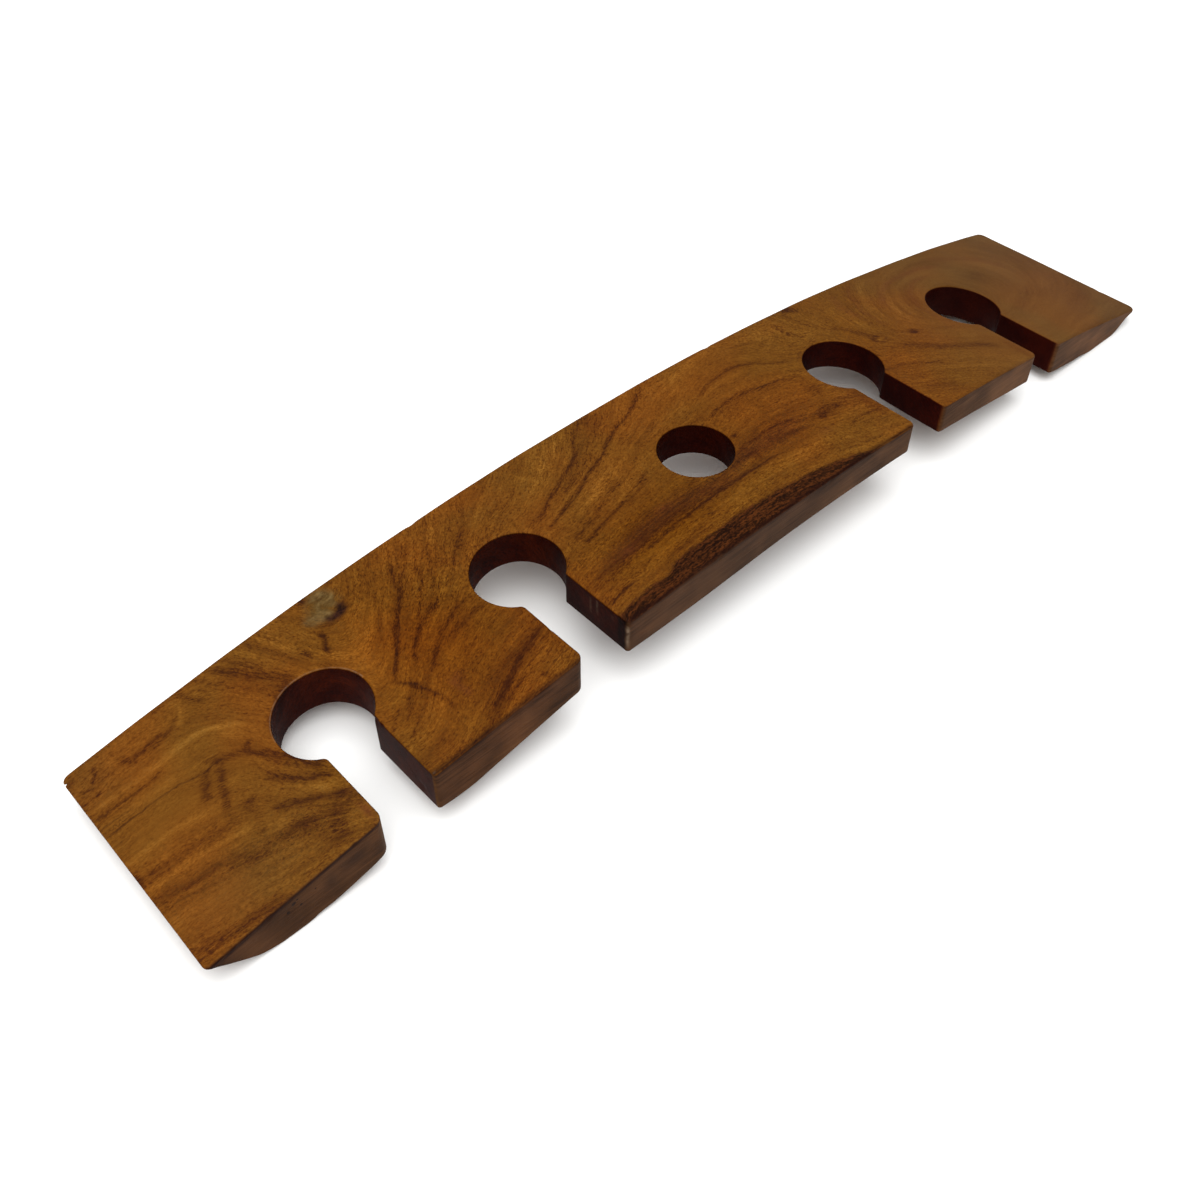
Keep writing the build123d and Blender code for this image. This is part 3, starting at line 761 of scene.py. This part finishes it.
grain = attribute("grain").outputs["Vector"]
fg = attribute("figure")
zn = attribute("zone")
mk = attribute("marks").outputs["Vector"]
sep = nt.nodes.new("ShaderNodeSeparateColor")
put(sep.inputs[0], fg.outputs["Color"])
f_dark, f_red, f_knot, f_pale = sep.outputs[0], sep.outputs[1], sep.outputs[2], fg.outputs["Alpha"]
sez = nt.nodes.new("ShaderNodeSeparateColor")
put(sez.inputs[0], zn.outputs["Color"])
z_wall, z_front, z_under, z_pore = sez.outputs[0], sez.outputs[1], sez.outputs[2], zn.outputs["Alpha"]
sem = nt.nodes.new("ShaderNodeSeparateXYZ")
put(sem.inputs[0], mk)
m_thin, m_amt, m_band = sem.outputs[0], sem.outputs[1], sem.outputs[2]
dr = attribute("drift")
sed = nt.nodes.new("ShaderNodeSeparateColor")
put(sed.inputs[0], dr.outputs["Color"])
d_pink, d_deep, d_calm, d_edge = sed.outputs[0], sed.outputs[1], sed.outputs[2], dr.outputs["Alpha"]
sw = nt.nodes.new("ShaderNodeSeparateXYZ")
put(sw.inputs[0], attribute("wear_and_highlight").outputs["Vector"])
w_rub_and_highlight, w_pit, w_heart = sw.outputs
tc = nt.nodes.new("ShaderNodeTexCoord")
obj = tc.outputs["Object"]

# slow wander of the growth lines, in mm
sp = nt.nodes.new("ShaderNodeSeparateXYZ")
put(sp.inputs[0], grain)
T, GX, GY = sp.outputs
lev = attribute("level").outputs["Fac"]
wob = noise(obj, 24.0, 2.0, 0.5)
wob2 = noise(scale_vec(obj, (1, 1, 1), (3, 1, 7)), 110.0, 2.0, 0.5)
wob3 = noise(scale_vec(obj, (1, 1, 1), (6, 4, 7)), 380.0, 1.0, 0.5)
wander = math_("ADD", math_("MULTIPLY", math_("SUBTRACT", wob, 0.5), 5.0), math_("MULTIPLY", math_("SUBTRACT", wob2, 0.5), 2.2))
wander = math_("ADD", wander, math_("MULTIPLY", math_("SUBTRACT", wob3, 0.5), 0.9))
T = math_("ADD", T, math_("MULTIPLY", wander, math_("POWER", 2.0, lev)))
lev0 = math_("FLOOR", lev)
lev_w = math_("SUBTRACT", lev, lev0)
T0 = math_("MULTIPLY", T, math_("POWER", 2.0, math_("MULTIPLY", lev0, -1.0)))
T1 = math_("MULTIPLY", T0, 0.5)


def stretched(across, along, k, detail, rough, seed):
    """Noise drawn out along the grain: 'across' and 'along' are cycles per mm."""
    def one(t):
        c_ = nt.nodes.new("ShaderNodeCombineXYZ")
        put(c_.inputs[0], t)
        put(c_.inputs[1], GX)
        put(c_.inputs[2], GY)
        v = scale_vec(c_.outputs[0], (across, along, along), seed)
        return noise(v, k, detail, rough)
    m_ = nt.nodes.new("ShaderNodeMix")
    m_.data_type = "FLOAT"
    put(m_.inputs[0], lev_w)
    put(m_.inputs[2], one(T0))
    put(m_.inputs[3], one(T1))
    return m_.outputs[0]


n_broad = stretched(0.060, 0.012, 1.0, 2.0, 0.5, (0, 0, 0))
n_spin = noise(scale_vec(obj, (1, 1, 1), (2, 9, 4)), 900.0, 1.0, 0.5)
n_band = stretched(0.21, 0.018, 1.0, 3.0, 0.6, (5, 2, 1))
n_line = stretched(0.42, 0.030, 1.0, 2.0, 0.5, (1, 9, 4))
n_long = stretched(0.85, 0.050, 1.0, 2.0, 0.6, (4, 4, 2))
n_vein = stretched(0.72, 0.040, 1.0, 3.0, 0.6, (6, 1, 8))
n_fib = stretched(0.95, 0.14, 1.0, 3.0, 0.62, (8, 3, 2))
n_dash = stretched(1.35, 0.42, 1.0, 2.0, 0.65, (3, 7, 5))
n_fine = stretched(2.2, 0.80, 1.0, 2.0, 0.6, (2, 8, 5))
n_cloud = noise(obj, 14.0, 3.0, 0.55)
n_mott = noise(obj, 420.0, 2.0, 0.6)
n_curl = noise(scale_vec(obj, (1, 1, 1), (9, 5, 2)), 150.0, 2.0, 0.5, 0.8)


def about(n, k):
    return math_("MULTIPLY", math_("SUBTRACT", n, 0.5), k)


# light to dark along the figure
vivid = math_("SUBTRACT", 1.0, d_calm)
fig_v = math_("ADD", about(n_broad, 0.42), 0.59)
fig_v = math_("ADD", fig_v, about(n_band, 0.25))
fig_v = math_("ADD", fig_v, about(n_cloud, 0.26))
small = math_("ADD", math_("ADD", about(n_fib, 0.50), about(n_vein, 0.60)), about(n_dash, 1.05))
small = math_("ADD", small, about(n_curl, 0.24))
small = math_("ADD", small, about(n_fine, 1.45))
fig_v = math_("ADD", fig_v, math_("MULTIPLY", small, vivid))
fig_v = math_("ADD", fig_v, math_("MULTIPLY", f_pale, 0.42))
streak_n = span(math_("MULTIPLY", math_("ADD", n_dash, n_fib), 0.5), 0.34, 0.64, 1.3, 0.55)
fig_v = math_("SUBTRACT", fig_v, math_("MULTIPLY", math_("MULTIPLY", f_dark, streak_n), 0.85))
dark_line = span(math_("ABSOLUTE", math_("SUBTRACT", n_line, 0.5)), 0.0, 0.035, 1.0, 0.0)
dark_line = math_("MULTIPLY", dark_line, span(n_cloud, 0.42, 0.62, 0.9, 0.0))
dark_line = math_("MULTIPLY", dark_line, span(n_dash, 0.35, 0.62, 1.0, 0.2))
fig_v = math_("SUBTRACT", fig_v, math_("MULTIPLY", math_("MULTIPLY", dark_line, vivid), 0.13))
fig_v = math_("MAXIMUM", math_("MINIMUM", fig_v, 1.0), 0.0)

ramp = nt.nodes.new("ShaderNodeValToRGB")
el = ramp.color_ramp.elements
el[0].position, el[0].color = 0.0, (0.034, 0.0085, 0.0022, 1)
el[1].position, el[1].color = 1.0, (0.225, 0.088, 0.0125, 1)
for pos, col in ((0.25, (0.060, 0.0165, 0.0022)), (0.50, (0.108, 0.0345, 0.0034)), (0.75, (0.152, 0.0540, 0.0060))):
    e_ = el.new(pos)
    e_.color = (*col, 1)
put(ramp.inputs[0], fig_v)
col = ramp.outputs[0]

# drifts of colour, and a slow wander between honey and olive brown
col = mix(d_pink, col, mix(1.0, col, (0.80, 0.93, 1.75), "MULTIPLY"))
col = mix(d_deep, col, mix(1.0, col, (0.76, 0.61, 0.20), "MULTIPLY"))
hue = noise(scale_vec(obj, (1, 1, 1), (7, 7, 3)), 17.0, 2.0, 0.5)
col = mix(span(hue, 0.36, 0.64), mix(1.0, col, (1.05, 0.98, 0.9), "MULTIPLY"), mix(1.0, col, (0.94, 1.06, 1.10), "MULTIPLY"))

# red heartwood streaks and the band along the front edge
col = mix(math_("MULTIPLY", f_red, span(n_fib, 0.25, 0.65, 0.5, 1.0)), col, (0.085, 0.021, 0.007))
band_f = span(math_("ADD", m_band, math_("ADD", about(n_fib, 1.3), about(n_dash, 1.5))), 0.16, 0.80, 0.0, 0.95)
col = mix(math_("MULTIPLY", band_f, span(m_band, 0.0, 0.15)), col, mix(span(math_("ADD", math_("ADD", about(n_dash, 1.2), about(n_fine, 0.9)), math_("ADD", about(n_long, 1.1), 0.5)), 0.30, 0.90), (0.0045, 0.0009, 0.0006), (0.080, 0.0215, 0.0045)))

# the knot: greyish green with a dark heart
kn = noise(scale_vec(obj, (1, 1, 1), (0.3, 0, 0)), 130.0, 3.0, 0.6, 0.6)
col = mix(math_("MULTIPLY", span(math_("MULTIPLY", f_knot, span(kn, 0.28, 0.62, 0.75, 1.15)), 0.10, 0.95), 0.74), col, mix(span(kn, 0.34, 0.68), (0.058, 0.036, 0.0095), (0.140, 0.094, 0.034)))

col = mix(math_("MULTIPLY", w_heart, span(n_mott, 0.25, 0.6, 0.75, 1.0)), col, mix(span(kn, 0.42, 0.62), (0.0075, 0.0024, 0.0020), (0.024, 0.0080, 0.0050)))

# thin dark lines
tw = math_("ABSOLUTE", math_("ADD", m_thin, math_("ADD", about(wob2, 1.1), about(wob3, 0.7))))
t_line = math_("MULTIPLY", span(tw, 0.12, 0.70, 1.0, 0.0), math_("MULTIPLY", m_amt, span(n_dash, 0.3, 0.62, 1.0, 0.62)))
col = mix(math_("MULTIPLY", t_line, 0.95), col, (0.026, 0.0070, 0.0022))

# pores: short dark dashes along the grain
po = math_("SUBTRACT", math_("MULTIPLY", n_fine, 0.55), about(n_band, 0.35))
po = math_("ADD", po, math_("MULTIPLY", n_dash, 0.45))
po = math_("ADD", po, math_("MULTIPLY", z_pore, 0.062))
po = math_("MULTIPLY", span(po, 0.545, 0.635), math_("MULTIPLY", vivid, span(z_pore, 0.1, 1.0, 0.55, 1.0, False)))
col = mix(math_("MULTIPLY", po, 0.72), col, (0.030, 0.0085, 0.0024))
# fine fibre lights and darks
lum = math_("ADD", 1.0, math_("MULTIPLY", math_("ADD", about(n_spin, 0.70), about(n_mott, 0.40)), vivid))
lum = math_("MULTIPLY", lum, 0.90)
cl = nt.nodes.new("ShaderNodeCombineColor")
for i in range(3):
    put(cl.inputs[i], lum)
col = mix(1.0, col, cl.outputs[0], "MULTIPLY")

# the walls of the slots and holes are made much darker and redder; the front face is duller,
# with its own lengthwise streaks
blot = noise(scale_vec(obj, (1, 1, 1), (4, 2, 9)), 90.0, 3.0, 0.6, 0.5)
col = mix(z_wall, col, mix(1.0, mix(span(blot, 0.3, 0.7), mix(1.0, col, (0.75, 0.5, 0.5), "MULTIPLY"), mix(1.0, col, (1.35, 1.5, 1.4), "MULTIPLY")), (0.15, 0.045, 0.04), "MULTIPLY"))
lay = noise(scale_vec(obj, (26.0, 26.0, 620.0), (1, 1, 1)), 1.0, 3.0, 0.6)
lay2 = noise(scale_vec(obj, (70.0, 70.0, 1900.0), (1, 1, 1)), 1.0, 2.0, 0.6)
slow = noise(scale_vec(obj, (1, 1, 1), (11, 1, 2)), 42.0, 2.0, 0.5)
fl = math_("ADD", math_("ADD", about(lay, 1.1), about(lay2, 0.8)), math_("ADD", about(slow, 2.1), 0.5), None, True)
fcol = mix(fl, (0.018, 0.0082, 0.0038), (0.100, 0.0465, 0.0220))
fcol = mix(math_("MULTIPLY", d_pink, 0.8), fcol, mix(1.0, fcol, (1.45, 1.50, 1.7), "MULTIPLY"))
fcol = mix(0.25, fcol, mix(1.0, col, (0.40, 0.40, 0.5), "MULTIPLY"))
col = mix(z_front, col, fcol)
col = mix(1.0, col, attribute("tint").outputs["Color"], "MULTIPLY")
for hx, hd, hr in ((-252.0, 5.0, 0.95), (-254.8, 7.4, 0.75), (-249.6, 8.6, 0.6), (-250.4, 4.2, 0.45), (-243.0, 6.6, 0.4)):
    hole_at = (np.array([hx, Y_FRONT, float(z_top(np.array([hx]))[0]) - hd]) + SHIFT) * MM
    dn = nt.nodes.new("ShaderNodeVectorMath")
    dn.operation = "DISTANCE"
    put(dn.inputs[0], obj)
    dn.inputs[1].default_value = tuple(map(float, hole_at))
    w_pit = math_("MAXIMUM", w_pit, span(dn.outputs["Value"], 0.7 * hr * MM, 1.25 * hr * MM, 0.95, 0.0))
col = mix(w_pit, col, (0.012, 0.0055, 0.0035))
col = mix(math_("MULTIPLY", d_edge, span(n_fib, 0.3, 0.65, 1.0, 0.72)), col, (0.0085, 0.0016, 0.0009))
# pale rubbed wood, and the painted highlight along the front arris
col = mix(math_("MULTIPLY", w_rub_and_highlight, span(n_mott, 0.3, 0.6, 0.3, 1.0)), col, (0.30, 0.22, 0.15))
put(bsdf.inputs["Base Color"], col)

rgh = math_("ADD", 0.46, math_("MULTIPLY", n_cloud, 0.12))
rgh = math_("ADD", rgh, math_("MULTIPLY", po, 0.15))
put(bsdf.inputs["Roughness"], rgh)
bsdf.inputs["Specular IOR Level"].default_value = 0.025

bump = nt.nodes.new("ShaderNodeBump")
bump.inputs["Strength"].default_value = 0.35
bump.inputs["Distance"].default_value = 0.0002
h = math_("SUBTRACT", math_("MULTIPLY", n_dash, 0.5), math_("MULTIPLY", po, 0.9))
h = math_("ADD", h, math_("MULTIPLY", n_fine, 0.25))
put(bump.inputs["Height"], h)
put(bsdf.inputs["Normal"], bump.outputs[0])
me.materials.append(mat)

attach(board, "root")
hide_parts("holder_board")

# -------------------------------------------------------------------- stage
bpy.ops.mesh.primitive_plane_add(size=12.0, location=(0, 0, 0))
floor = bpy.context.object
floor.name = "floor"
fm = bpy.data.materials.new("floor_pale")
fm.use_nodes = True
fb = fm.node_tree.nodes["Principled BSDF"]
fb.inputs["Base Color"].default_value = (0.86, 0.86, 0.85, 1)
fb.inputs["Roughness"].default_value = 0.9
floor.data.materials.append(fm)

world = bpy.data.worlds.new("world")
scene.world = world
world.use_nodes = True
bg = world.node_tree.nodes["Background"]
bg.inputs[0].default_value = (1, 1, 1, 1)
bg.inputs[1].default_value = 0.55


def area(name, loc, target, size, power, color=(1, 1, 1)):
    l = bpy.data.lights.new(name, "AREA")
    l.shape = "RECTANGLE"
    l.size, l.size_y = size
    l.energy = power
    l.color = color
    o = bpy.data.objects.new(name, l)
    scene.collection.objects.link(o)
    o.location = loc
    d = Vector(target) - Vector(loc)
    o.rotation_euler = d.to_track_quat("-Z", "Y").to_euler()
    return o


area("key", (-0.25, -0.25, 1.5), (0, 0, 0), (2.0, 1.8), 40)
area("fill", (-1.4, -0.9, 0.9), (0, 0, 0), (1.2, 1.2), 6)

# ------------------------------------------------------------------- camera
TH = 0.008
ry = np.array([[math.cos(TH), 0, math.sin(TH)], [0, 1, 0], [-math.sin(TH), 0, math.cos(TH)]])
CAM_C = np.array([-325.496, -284.038, 364.678])
CAM_R = np.array([[0.7347, -0.6783, 0.0105], [-0.4925, -0.5440, -0.6794], [0.4665, 0.4940, -0.7337]])
loc = ry @ CAM_C + np.array([0, 0, 45.10]) + SHIFT
rows = CAM_R @ ry.T
cd = bpy.data.cameras.new("camera")
cam = bpy.data.objects.new("camera", cd)
scene.collection.objects.link(cam)
m = Matrix.Identity(4)
for i in range(3):
    m[i][0], m[i][1], m[i][2], m[i][3] = rows[0][i], -rows[1][i], -rows[2][i], loc[i] * MM
cam.matrix_world = m
cd.sensor_width = 36.0
cd.sensor_fit = "HORIZONTAL"
cd.lens = 1257.0 / 1200 * 36
cd.clip_start = 0.01
scene.camera = cam

scene.view_settings.view_transform = "Standard"
scene.view_settings.look = "None"
